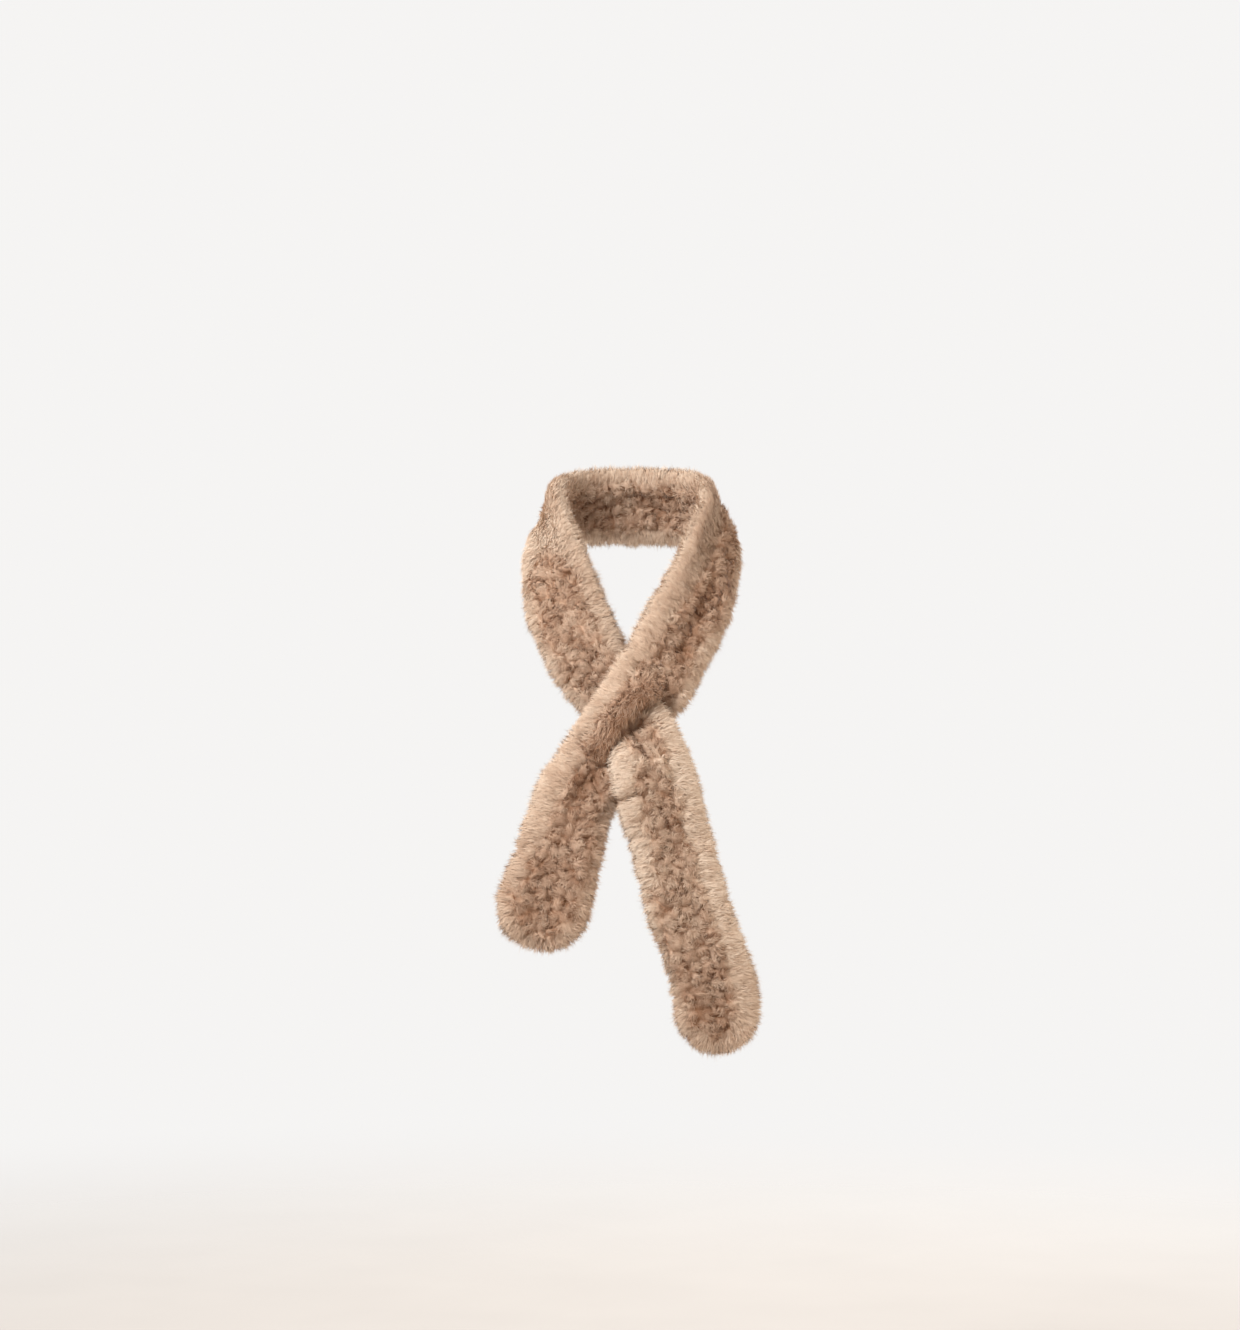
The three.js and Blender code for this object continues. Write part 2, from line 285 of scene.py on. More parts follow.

# the smooth roll along each edge of the outer face, in mm from the band's edge on the minus and plus side,
# how far the fur swells out past the plus edge, and how much paler or darker the fur is painted there, as
# painted light and shade
rollColumns = ("place", "minus", "plus", "plusOut", "paintedLightShade")
rollRows = [
    ("short tip", 10, 9, 0, -0.11),
    ("short end", 11.5, 8.5, 0, -0.11),
    ("short tail", 18, 6.5, 0, -0.1),
    ("short top", 20, 8, 0, -0.05),
    ("slot low", 17, 9, 0, -0.02),
    ("slot high", 17, 10, 0, -0.04),
    ("right chest", 18, 10.5, 0, -0.01),
    ("right throat", 26, 8, 0, -0.03),
    ("right side", 37, 14, 0, -0.06),
    ("right neck", 27, 16, 0, -0.06),
    ("right back", 15, 13, 0, 0),
    ("nape", 13, 13, 0, 0),
    ("left back", 15, 13, 0, 0),
    ("left neck", 32, 26, 0, 0),
    ("left side", 36, 30, 0, 0),
    ("left throat", 17, 8.5, 0, 0),
    ("left chest", 13, 7, 0, 0),
    ("under middle", 11, 8, 0, 0),
    ("slot exit", 14, 5, 2.5, 0.06),
    ("tail top", 18, 18, 5, 0.12),
    ("tail shoulder", 20, 17, 2, 0.1),
    ("tail upper", 18.5, 13.5, 0, 0.1),
    ("tail middle", 18, 7.5, 0, 0.09),
    ("tail lower", 19, 4, 0, 0.07),
    ("long end", 20, 8.5, 0, -0.01),
    ("long tip", 14, 10, 0, -0.06),
]

# how far the fur closes over the slot, at shares of the slot's length
slotLap = [(0, 0), (0.12, 2), (0.3, 0.5), (0.55, 1.5), (0.75, 4), (0.88, 5.5), (1, 5)]

# the slot's raw edge, where the fur grows long and is painted darker, as painted shade in the slot: how far
# along the slot and in from the edge it fades
slotEdgeSpan = {"lowEnd": (-2, 9), "highEnd": (0, 24), "over": (17, 3), "under": (6, 1)}

# soft creases. place and shift give the length, face is 1 outside, -1 inside and 0 both, across
# is mm from the band's middle, turn is 0 along the band and 90 across it, run is half its length, and one
# with a depth under 0 stands out
# each crease is also painted darker by its depth, as painted shade, and one that stands out paler, as painted
# light
creaseColumns = ("place", "shift", "face", "across", "turn", "run", "deep", "spread")
creaseRows = [
    ("slot exit", 8, 1, 0, 90, 13, -4, 6.5),
    ("slot exit", 18, 1, 7.5, -11, 18, 3.2, 2.2),
    ("tail shoulder", -6.5, 0, 22, 92, 12, 4.4, 1.7),
    ("tail shoulder", 19, 0, 24, 80, 7, 1.4, 2.4),
    ("right chest", 24, 1, 5.5, -5, 54, 2.6, 7.5),
    ("right throat", 30, 1, -9, 52, 13, 1.7, 4),
    ("right side", 12, 0, 14, 68, 14, 1.6, 4.5),
    ("right neck", 10, -1, -4, 78, 17, 1.9, 4),
    ("right back", 4, 1, 6, 84, 16, 1.4, 5),
    ("right back", 30, -1, 3, 96, 18, 1.8, 3.6),
    ("nape", -12, 1, -8, 100, 12, 1.2, 4.5),
    ("nape", 16, -1, 5, 82, 19, 1.7, 4),
    ("left back", -6, 1, 4, 88, 17, 1.5, 5.5),
    ("left back", 22, -1, -6, 94, 15, 1.8, 3.8),
    ("left neck", 8, -1, 2, 82, 18, 1.9, 4.2),
    ("left side", 6, 0, 15, 74, 12, 1.5, 4),
    ("left throat", 12, 1, -10, 62, 12, 1.5, 4.5),
    ("left chest", 22, -1, 2, 12, 26, 1.6, 5),
    ("slot low", -16, 1, 1.5, 0, 30, 2.9, 7.5),
    ("slot low", -34, -1, -6, 8, 26, 1.8, 5),
    ("short tail", -6, 0, -25, 97, 8, 1.2, 3.4),
    ("short end", 6, -1, 9, 70, 14, 1.3, 4),
    ("tail upper", 12, -1, -5, 10, 30, 1.8, 5),
    ("tail middle", 8, 0, -25, 84, 8, 1.1, 3.6),
    ("tail lower", 10, -1, 8, 75, 15, 1.3, 4.5),
    ("tail lower", 28, 0, 26, 92, 8, 1.2, 3.4),
    ("tail lower", -2, 1, 27, 0, 34, 2.2, 7),
]
creaseForm = {"sway": 1.2, "swayRun": 5, "ends": (1, 0.45), "turnOver": (-0.15, 0.35)}


def rollAt(key, length):
    column = rollColumns.index(key)
    return np.interp(length, [lengthAt(row[0]) for row in rollRows], [row[column] for row in rollRows])


def creasesAt(length, across, outer):
    total = np.zeros_like(length)
    for row in creaseRows:
        crease = dict(zip(creaseColumns, row))
        dl, dw = length - lengthAt(crease["place"], crease["shift"]), across - crease["across"]
        c, s = math.cos(math.radians(crease["turn"])), math.sin(math.radians(crease["turn"]))
        lengthwise, crosswise = dl * c + dw * s, dw * c - dl * s
        sway = np.sin(lengthwise / creaseForm["swayRun"] + crease["shift"])
        crosswise = crosswise + creaseForm["sway"] * sway
        fade = smoothStep(*creaseForm["ends"], np.abs(lengthwise) / crease["run"])
        trough = crease["deep"] * np.exp(-(crosswise / crease["spread"]) ** 2) * fade
        if crease["face"]:
            trough = trough * smoothStep(*creaseForm["turnOver"], outer * crease["face"])
        total = total + trough if crease["deep"] < 0 else np.maximum(total, trough)
    return total


def tuftsAt(length, across, faceSide):
    # the two nearest tufts on a jittered grid, and the nearest one's own numbers
    a, b = length / knit["alongStep"], across / knit["acrossStep"]
    near = np.full(a.shape, 9.0)
    following = near.copy()
    found = {k: np.zeros(a.shape) for k in ("dl", "dw", "tone", "lean", "high")}
    for i, j in np.ndindex(3, 3):
        column = np.floor(b) + j - 1
        slide = 0.5 * np.mod(column, 2) + knit["slide"] * hashed(column, faceSide, seed=5)
        cell = (np.floor(a - slide) + i - 1, column, faceSide)
        tuftA = cell[0] + slide + 0.5 + knit["jitter"] * (hashed(*cell, seed=1) - 0.5)
        tuftB = column + 0.5 + knit["jitter"] * (hashed(*cell, seed=2) - 0.5)
        size = knit["tuftSize"][0] + knit["tuftSize"][1] * hashed(*cell, seed=3)
        distance = np.hypot(a - tuftA, b - tuftB) / size
        closer = distance < near
        following = np.where(closer, near, np.minimum(following, distance))
        near = np.where(closer, distance, near)
        values = {
            "dl": (a - tuftA) * knit["alongStep"], "dw": (b - tuftB) * knit["acrossStep"],
            "tone": hashed(*cell, seed=4), "lean": hashed(*cell, seed=6), "high": hashed(*cell, seed=7),
        }
        found = {k: np.where(closer, values[k], v) for k, v in found.items()}
    return {"near": near, "next": following, **found}


# one skin for each stretch, through rings
skin = {
    "ringStep": 1.12, "pointsRound": 110,
    "tipRings": 30,  # a tail's tip is round across
    "tipThick": 0.6, "tipRelief": 1.2,  # and through, for this share of the thickness
    "capShares": (0.4, 0.75, 0.95), "capShrink": 0.98, "capFlat": 0.94, "dome": 4.0,  # a seam's closed end
    "foldPlace": 0.12, "foldDeep": 0.25,  # share of the band's width, and of the solid's fold
    "uvLow": 0.02, "uvLong": 0.96, "poleTone": 0.4,
}

fullTurn = np.linspace(0, 2 * math.pi, 2001)
ovalShare = 2 / bandSize["ovalPower"]


def oval(angle):
    c, s = np.cos(angle), np.sin(angle)
    return np.sign(c) * np.abs(c) ** ovalShare, np.sign(s) * np.abs(s) ** ovalShare


turnW, turnN = oval(fullTurn)
turnArc = np.concatenate([[0], np.cumsum(np.hypot(np.diff(turnW * wide / 2), np.diff(turnN * thick / 2)))])
ringAngles = np.interp(np.arange(skin["pointsRound"]) / skin["pointsRound"] * turnArc[-1], turnArc, fullTurn)


def roundOff(distance, radius):
    return np.where(distance >= radius, 1, np.sqrt(np.maximum(1 - (1 - distance / radius) ** 2, 0)))


def gridNormals(p):  # outwards
    nextPoint, lastPoint = np.roll(p, -1, 1), np.roll(p, 1, 1)
    nextRing, lastRing = np.concatenate([p[1:], p[-1:]]), np.concatenate([p[:1], p[:-1]])
    n = unit(np.cross(nextRing - lastRing, nextPoint - lastPoint))
    return n * np.sign(((p - p.mean(1, keepdims=True)) * n).sum(-1).mean())


def ringLengths(low, high, tips, domes):
    # where the rings lie, how far each is drawn in, and which ones close a seam
    radius, inset = tailWide / 2, knit["insetEdge"]
    lengths = np.linspace(low, high, max(4, round((high - low) / skin["ringStep"])) + 1)
    tipSteps = radius * (1 - np.cos(np.linspace(0, math.pi / 2, skin["tipRings"])))[:-1]
    toTip = np.full(len(lengths), np.inf)
    if tips[0]:
        lengths = np.concatenate([tipSteps + inset, lengths[lengths - low > radius + inset]])
        toTip = lengths - inset
    if tips[1]:
        lengths = np.concatenate([lengths[high - lengths > radius + inset], (high - inset - tipSteps)[::-1]])
        toTip = high - inset - lengths
    shrink = roundOff(toTip, radius - inset)
    flat = roundOff(toTip, thick * skin["tipThick"] - 1)
    isCap = np.zeros(len(lengths), bool)
    for end, way in enumerate((-1, 1)):
        if tips[end]:
            continue
        # a seam's end is closed inside its neighbour: flat at a plain seam, a dome beside the slot
        shares = np.array(skin["capShares"][::way])
        dome = skin["dome"] if domes[end] else 0.0
        scale = np.sqrt(1 - shares**2) if dome else 1 - shares
        capLengths = lengths[-end] + way * dome * shares
        added = (capLengths, scale * skin["capShrink"], scale * skin["capFlat"], shares > 0)
        lengths, shrink, flat, isCap = (
            np.concatenate([new, old] if end == 0 else [old, new])
            for old, new in zip((lengths, shrink, flat, isCap), added))
    return lengths, shrink, flat, isCap


def makeStrip(name, low, high, sideName=None, domes=(False, False)):
    # rings of points on the skin, with what the fur needs to know at each
    tips = (low <= 0, high >= bandLong)
    lengths, shrink, flat, isCap = ringLengths(low, high, tips, domes)
    station = slotStationAt(sideName, lengths) if sideName else stationAt(lengths)
    w, n = (v[None] for v in oval(ringAngles))
    bodyWide = station["wide"][:, None] - 2 * knit["insetEdge"]
    bodyThick = station["thick"][:, None] - 2 * knit["insetFace"]
    swollen = rollAt("plusOut", lengths)
    if sideName:
        swollen = np.interp(slotShare(lengths), *zip(*slotLap)) if sideName == "over" else lengths * 0
    swell = np.where(w > 0, swollen[:, None], 0)
    across = (bodyWide / 2 + swell) * w * shrink[:, None]
    foldAt = skin["foldPlace"] * station["wide"][:, None]
    fold = station["fold"][:, None] * np.exp(-(((across - foldAt) / foldAt) ** 2)) * (n > 0)
    dished = 1 - knit["dish"] * (1 - w * w) ** 2
    out = (bodyThick / 2 * n * dished - skin["foldDeep"] * fold) * flat[:, None]
    base = (station["middle"][:, None] + station["across"][:, None] * across[..., None]
            + station["face"][:, None] * out[..., None])
    at = {  # own is across from the strip's middle, and across from the whole band's
        "length": lengths[:, None], "own": across, "ownHalf": bodyWide / 2 + swell,
        "across": across + station.get("shift", lengths * 0)[:, None], "outer": n,
        "flat": (np.where(isCap, 0, 1) * np.minimum(1, flat * skin["tipRelief"]))[:, None],
    }
    at = {k: np.broadcast_to(v, across.shape) for k, v in at.items()}
    lead, trail = (0 if tip else len(skin["capShares"]) for tip in tips)

    def levelled(normals):  # a seam and its closed end point the way that the next ring does
        if lead:
            normals[:lead + 1] = normals[lead + 1]
        if trail:
            normals[-trail - 1:] = normals[-trail - 2]
        return normals

    strip = {
        "name": name, "side": sideName, "tips": tips, "cap": isCap, **at,
        "along": station["along"], "acrossWay": station["across"],
        "base": base, "baseNormal": levelled(gridNormals(base)),
    }
    here = surfaceAt(strip, at, base)
    strip["tone"] = here["tone"]
    strip["place"] = base + strip["baseNormal"] * here["relief"][..., None]
    strip["normal"] = levelled(gridNormals(strip["place"]))
    return strip


def edgeField(strip, at):
    # distance from the nearest smooth edge, and which way outwards lies, in along and across
    own, ownHalf = at["own"], at["ownHalf"]
    none = own * 0
    if strip["side"] == "over":
        return np.maximum(own + ownHalf, 0), np.stack([none, none - 1], -1)
    if strip["side"] == "under":
        return np.maximum(ownHalf - own, 0), np.stack([none, none + 1], -1)
    reach, way = ownHalf - np.abs(own), np.stack([none, np.sign(own)], -1)
    inset = knit["insetEdge"]
    radius = tailWide / 2 - inset
    for end, tip in enumerate(strip["tips"]):
        if not tip:
            continue
        past = radius + inset - at["length"] if end == 0 else at["length"] - (bandLong - radius - inset)
        far = np.hypot(past, own)
        endWay = np.stack([past * (-1 if end == 0 else 1), own], -1) / np.maximum(far, 1e-6)[..., None]
        reach = np.where(past > 0, radius - far, reach)
        way = np.where((past > 0)[..., None], endWay, way)
    return np.maximum(reach, 0), way


def slotEdgeAt(strip, at):  # how near the slot's raw edge is, from 0 to 1
    if not strip["side"]:
        return at["own"] * 0
    opened = (smoothStep(*slotEdgeSpan["lowEnd"], at["length"] - lengthAt("slot low"))
              * smoothStep(*slotEdgeSpan["highEnd"], lengthAt("slot high") - at["length"]))
    inwards = at["ownHalf"] - at["own"] if strip["side"] == "over" else at["own"] + at["ownHalf"]
    return smoothStep(*slotEdgeSpan[strip["side"]], inwards) * opened


def knitAt(strip, at, spot):
    # how far the knit covers a spot, which way the fur lies there, and how the tufts run on over the rolls
    length, own, ownHalf, outer = (at[k] for k in ("length", "own", "ownHalf", "outer"))
    reach, way = edgeField(strip, at)
    minusEdge, plusEdge = (
        np.where(outer >= 0, rollAt(k, length), knit["innerEdge"]) for k in ("minus", "plus"))
    plusShare = {"over": 0, "under": 1}.get(strip["side"], np.clip(0.5 + own / knit["sideBlend"], 0, 1))
    edge = minusEdge * (1 - plusShare) + plusEdge * plusShare
    wander = knit["ragged"] * (fieldAt(spot, "raggedWide") + knit["raggedFine"] * fieldAt(spot, "raggedFine"))
    wander = wander * np.minimum(1, edge / knit["raggedWhole"])
    knitted = smoothStep(*knit["border"], reach - (edge - knit["insetEdge"]) + wander)
    knitted = knitted * smoothStep(*knit["turnOver"], np.abs(outer))
    room = 1
    if not strip["side"]:
        split = ownHalf * (minusEdge - plusEdge) / (minusEdge + plusEdge)
        apart = smoothStep(0, knit["meet"], np.abs(own - split))
        down = np.stack([np.sign(length - lengthAt("nape")) * (1 - apart), np.sign(own - split) * apart], -1)
        way = np.where(np.abs(way[..., :1]) > 1e-6, way, down)
        room = smoothStep(0, knit["room"], 2 * (ownHalf + knit["insetEdge"]) - minusEdge - plusEdge)
    knitted = knitted * room
    beyond = np.maximum(0, edge - knit["insetEdge"] - wander - reach)  # how far out on the roll
    fringe = smoothStep(rolls["fringe"], 0, beyond) * (1 - knitted) * room
    held = rolls["fringeHeld"] * beyond[..., None] * way
    return {"reach": reach, "way": way, "knitted": knitted, "fringe": fringe, "held": held}


def stripesAt(length, reach, spot):  # uneven furrows that run out across the rolls
    bend = rolls["stripeBend"] * fieldAt(spot, "stripeBend") + rolls["stripeSlant"] * reach
    phase = (length + bend) / rolls["stripeStep"]
    slower = np.cos(2 * math.pi * phase * rolls["stripeSecond"] + rolls["stripePhase"])
    wave = np.cos(2 * math.pi * phase) * 0.5 + 0.5 * slower
    return wave * smoothStep(*rolls["stripeFade"], reach + rolls["stripeInset"])


# the fur's tone, from 0 in the deepest shade to 1 at the palest
toneSetting = {
    # the knit is painted paler on each tuft's dome, as painted light, and darker in the gaps, as painted
    # shade
    "knitLitTop": 0.67, "knitShadedGap": 0.02, "tuftVary": 0.21, "tuftDome": (0.45, 0.55),
    "roll": 0.86, "furrow": 0.03, "streak": 0.035, "fringe": 0.3,
    "wide": 0.06, "middle": 0.05, "fine": 0.085, "fineOnRoll": 0.4,
    "streakForm": (1.2, 0.18, 1.5),  # how far the streaks bend, and their scale across and through
    # the knit takes less of its stretch's painted light and shade
    "knitLess": 0.3,  # share of a stretch's own paleness that its knit leaves out
    # the halo's strands at the rim are painted paler by rim, as painted light
    "crease": 0.07, "slotEdge": 0.34, "strand": 0.05, "slotStrand": 1.8, "guard": 0.06, "rim": 0.13,
}


def surfaceAt(strip, at, spot):
    # the skin's relief, in mm out from its base, and what grows there
    length, across, outer = at["length"], at["across"], at["outer"]
    cover = knitAt(strip, at, spot)
    knitted, fringe, held = cover["knitted"], cover["fringe"], cover["held"]
    tufts = tuftsAt(length - held[..., 0] + knit["bend"] * fieldAt(spot, "bendAlong"),
                    across - held[..., 1] + knit["bend"] * fieldAt(spot, "bendAcross"),
                    np.where(outer >= 0, 1, 2))
    roundness = np.clip(tufts["near"] / knit["tuftReach"], 0, 1)
    dome = (1 - roundness**2) ** knit["domePower"]
    lean = 2 * math.pi * tufts["lean"]
    onward = (tufts["dl"] * np.cos(lean) + tufts["dw"] * np.sin(lean)) / knit["leanReach"]
    parted = np.clip(knit["parted"][0] + knit["parted"][1] * fieldAt(spot, "parted"), 0, 1)
    gap = (1 - smoothStep(*knit["gapWide"], tufts["next"] - tufts["near"])) * parted
    # painted shade in the gaps between tufts, darker where a tuft leans over them
    plainShade, moreShade, leastShade = knit["gapShade"]
    shade = gap * np.clip(plainShade + moreShade * onward, leastShade, 1)

    low, rest = knit["dome"]
    varied = knit["highPlain"] + knit["highVary"] * (tufts["high"] - 0.5) * parted
    tuft = knit["high"] * (low + rest * dome) * varied
    plain, more = knit["leanShare"]
    tuft = tuft * (1 + knit["leanHigh"] * onward * (plain + more * parted)) * (1 - knit["gapLow"] * gap)
    furrow = stripesAt(length, cover["reach"], spot)
    roll = (rolls["stripeDeep"] * furrow + rolls["swell"] * fieldAt(spot, "rollSwell")
            + rolls["wave"] * fieldAt(spot, "rollWave"))
    roll = roll + fringe * (rolls["fringeHigh"] * dome - rolls["fringeDeep"] * gap)
    crease = creasesAt(length, across, outer)
    slotEdge = slotEdgeAt(strip, at)
    tufted = knitted * (1 - knit["slotBare"] * slotEdge)
    relief = tufted * tuft + (1 - tufted) * roll + skinSwell * fieldAt(spot, "skinSwell")
    relief = relief - crease * creaseDeep

    own = toneSetting
    # painted light on each tuft's dome and painted shade in the gaps, with a random tone for each tuft
    low, rest = own["tuftDome"]
    knitTone = own["knitShadedGap"] + (own["knitLitTop"] - own["knitShadedGap"]) * ((low + rest * dome) * (1 - shade))
    knitTone = knitTone + own["tuftVary"] * (tufts["tone"] - 0.5)
    bend, acrossScale, outerScale = own["streakForm"]
    streakSpot = np.stack([
        length + bend * fieldAt(spot, "streakBend"), across * acrossScale, outer * outerScale], -1)
    # on the rolls, the furrows' crests are painted paler, as painted light, and the gaps of the tufts'
    # pattern that runs out over them darker, as painted shade
    rollTone = (own["roll"] + own["furrow"] * furrow + own["streak"] * fieldAt(streakSpot, "streak")
                - own["fringe"] * fringe * shade)
    tone = knitTone * tufted + (1 - tufted) * rollTone
    tone = tone + own["wide"] * fieldAt(spot, "toneWide") + own["middle"] * fieldAt(spot, "toneMiddle")
    fine = own["fineOnRoll"] + (1 - own["fineOnRoll"]) * tufted
    tone = tone + own["fine"] * fine * fieldAt(spot, "toneFine")
    # painted light and shade by place: some stretches are painted paler and others darker, as the light falls
    # on them
    tone = tone + rollAt("paintedLightShade", length) * (1 - own["knitLess"] * tufted)
    # painted shade at the slot's raw edge
    # painted shade in the creases, and painted light on a crease that stands out
    tone = tone - own["crease"] * crease - own["slotEdge"] * slotEdge
    return {
        "relief": relief * at["flat"], "tone": np.clip(tone, 0, 1), "knitted": knitted, "crease": crease,
        "slotEdge": slotEdge, "way": cover["way"], "tufts": tufts, "roundness": roundness, "gap": gap,
    }


# each stretch from seam to seam. the slot's two sides reach into their neighbours
slotReach = 3
slotSpan = {"low": lengthAt("slot low", -slotReach), "high": lengthAt("slot high", slotReach),
            "domes": (True, True)}
hiddenSeam = lengthAt("under middle", 4)
stretches = {
    "short_tail": {"low": 0, "high": lengthAt("slot low"), "domes": (False, True)},
    "slot_over_band": {**slotSpan, "sideName": "over"},
    "slot_under_band": {**slotSpan, "sideName": "under"},
    "right_front": {"low": lengthAt("slot high"), "high": lengthAt("right side"), "domes": (True, False)},
    "neck_band": {"low": lengthAt("right side"), "high": lengthAt("left side")},
    "left_front": {"low": lengthAt("left side"), "high": hiddenSeam},
    "long_tail": {"low": hiddenSeam, "high": bandLong},
}
strips = {name: makeStrip(name, **facts) for name, facts in stretches.items()}
print("stage: strips,", {k: v["place"].shape[:2] for k, v in strips.items()})


class Wire:  # a value or colour in a shader, with maths written as Python
    def __init__(self, tree, socket):
        self.tree, self.socket = tree, socket

    def maths(self, operation, other, flip=False):
        node = self.tree.nodes.new("ShaderNodeMath")
        node.operation = operation
        for slot, value in zip(node.inputs, [other, self] if flip else [self, other]):
            if isinstance(value, Wire):
                self.tree.links.new(value.socket, slot)
            else:
                slot.default_value = value
        return Wire(self.tree, node.outputs[0])

    def __add__(self, other):
        return self.maths("ADD", other)

    def __sub__(self, other):
        return self.maths("SUBTRACT", other)

    def __rsub__(self, other):
        return self.maths("SUBTRACT", other, flip=True)

    def __mul__(self, other):
        return self.maths("MULTIPLY", other)

    def __pow__(self, other):
        return self.maths("POWER", other)

    __radd__, __rmul__ = __add__, __mul__


class Shader:  # the node tree of a material or world, with one way to make any node
    def __init__(self, owner, endKind="ShaderNodeOutputMaterial"):
        owner.use_nodes = True
        self.owner, self.tree, self.endKind = owner, owner.node_tree, endKind
        self.tree.nodes.clear()

    def node(self, kind, settings=(), values=(), output=0):
        made = self.tree.nodes.new(kind)
        for key, value in dict(settings).items():
            if key == "stops":
                ramp = made.color_ramp
                while len(ramp.elements) < len(value):
                    ramp.elements.new(0.5)
                for element, (position, colour) in zip(ramp.elements, value):
                    element.position, element.color = position, (*colour, 1)
            else:
                setattr(made, key, value)
        for key, value in dict(values).items():
            if isinstance(value, Wire):
                self.tree.links.new(value.socket, made.inputs[key])
            else:
                made.inputs[key].default_value = value
        return Wire(self.tree, made.outputs[output])

    def mixed(self, share, first, second, blend="MIX"):  # two colours
        return self.node("ShaderNodeMix", {"data_type": "RGBA", "blend_type": blend},
                         {0: share, 6: first, 7: second}, output=2)

    def finish(self, surface):
        end = self.tree.nodes.new(self.endKind)
        self.tree.links.new(surface.socket, end.inputs["Surface"])
        return self.owner


furColour = {
    "stops": [  # from the shade between the tufts to a lit tip
        (0.0, (0.19, 0.090, 0.046)),
        (0.3, (0.40, 0.223, 0.133)),
        (0.6, (0.62, 0.437, 0.320)),
        (0.85, (0.79, 0.622, 0.484)),
        (1.0, (0.95, 0.815, 0.680)),
    ],
    # painted shade: each strand is painted darker and warmer towards its root, as shade deep in the fur and
    # the warm light scattered there
    "rootShade": 0.73, "rootFade": 0.7, "rootShadeWarmth": {"Red": 1, "Green": 1.25, "Blue": 1.5},
    "surface": {
        "Roughness": 0.9, "Specular IOR Level": 0.2,
        "Sheen Weight": 0.2, "Sheen Roughness": 0.45, "Sheen Tint": (1.0, 0.86, 0.76, 1),
    },
    "skinTone": 0.92, "skinNoise": 0.12, "skinDarker": 0.08,  # how the skin under the fur takes its tone
    "noiseScale": 900, "noiseDetail": 3, "bump": 0.5, "bumpDeep": 0.0006,
}


def strandMaterial():
    shader = Shader(bpy.data.materials.new("plushStrands"))
    tone, along = (shader.node("ShaderNodeAttribute", {"attribute_name": name}, output=2)
                   for name in ("tone", "alongStrand"))
    colour = shader.node("ShaderNodeValToRGB", {"stops": furColour["stops"]}, {"Fac": tone})
    # painted shade towards the root, warmed
    lit = furColour["rootShade"] + (1 - furColour["rootShade"]) * along ** furColour["rootFade"]
    warm = {k: lit ** power for k, power in furColour["rootShadeWarmth"].items()}
    colour = shader.mixed(1.0, colour, shader.node("ShaderNodeCombineColor", values=warm), "MULTIPLY")
    return shader.finish(shader.node("ShaderNodeBsdfPrincipled", values={
        "Base Color": colour, **furColour["surface"]}))


def skinMaterial():
    shader = Shader(bpy.data.materials.new("plushSkin"))
    tone = shader.node("ShaderNodeAttribute", {"attribute_name": "tone"}, output=2)
    where = shader.node("ShaderNodeTexCoord", output="Object")
    fine = shader.node("ShaderNodeTexNoise", values={
        "Vector": where, "Scale": furColour["noiseScale"], "Detail": furColour["noiseDetail"]})
    value = tone * furColour["skinTone"] + fine * furColour["skinNoise"] - furColour["skinDarker"]
    colour = shader.node("ShaderNodeValToRGB", {"stops": furColour["stops"]}, {"Fac": value})
    bump = shader.node("ShaderNodeBump", values={
        "Strength": furColour["bump"], "Distance": furColour["bumpDeep"], "Height": fine})
    return shader.finish(shader.node("ShaderNodeBsdfPrincipled", values={
        "Base Color": colour, "Normal": bump, **furColour["surface"]}))


plushStrands, plushSkin = strandMaterial(), skinMaterial()
print("stage: materials")


def meshFrom(name, places, faces, uvs, material, values):
    mesh = bpy.data.meshes.new(name)
    mesh.vertices.add(len(places))
    mesh.vertices.foreach_set("co", (places * mm).astype(np.float32).ravel())
    mesh.loops.add(faces.size)
    mesh.loops.foreach_set("vertex_index", faces.astype(np.int32).ravel())
    mesh.polygons.add(len(faces))
    mesh.polygons.foreach_set("loop_start", np.arange(0, faces.size, faces.shape[1], dtype=np.int32))
    layer = mesh.uv_layers.new(name="OFBake")
    layer.uv.foreach_set("vector", uvs.astype(np.float32).ravel())
    for key, value in values.items():
        attribute = mesh.attributes.new(key, "FLOAT", "POINT")
        attribute.data.foreach_set("value", value.astype(np.float32).ravel())
    mesh.update(calc_edges=True)
    mesh.polygons.foreach_set("use_smooth", np.ones(len(faces), bool))
    mesh.materials.append(material)
    piece = bpy.data.objects.new(name, mesh)
    bpy.context.scene.collection.objects.link(piece)
    return piece


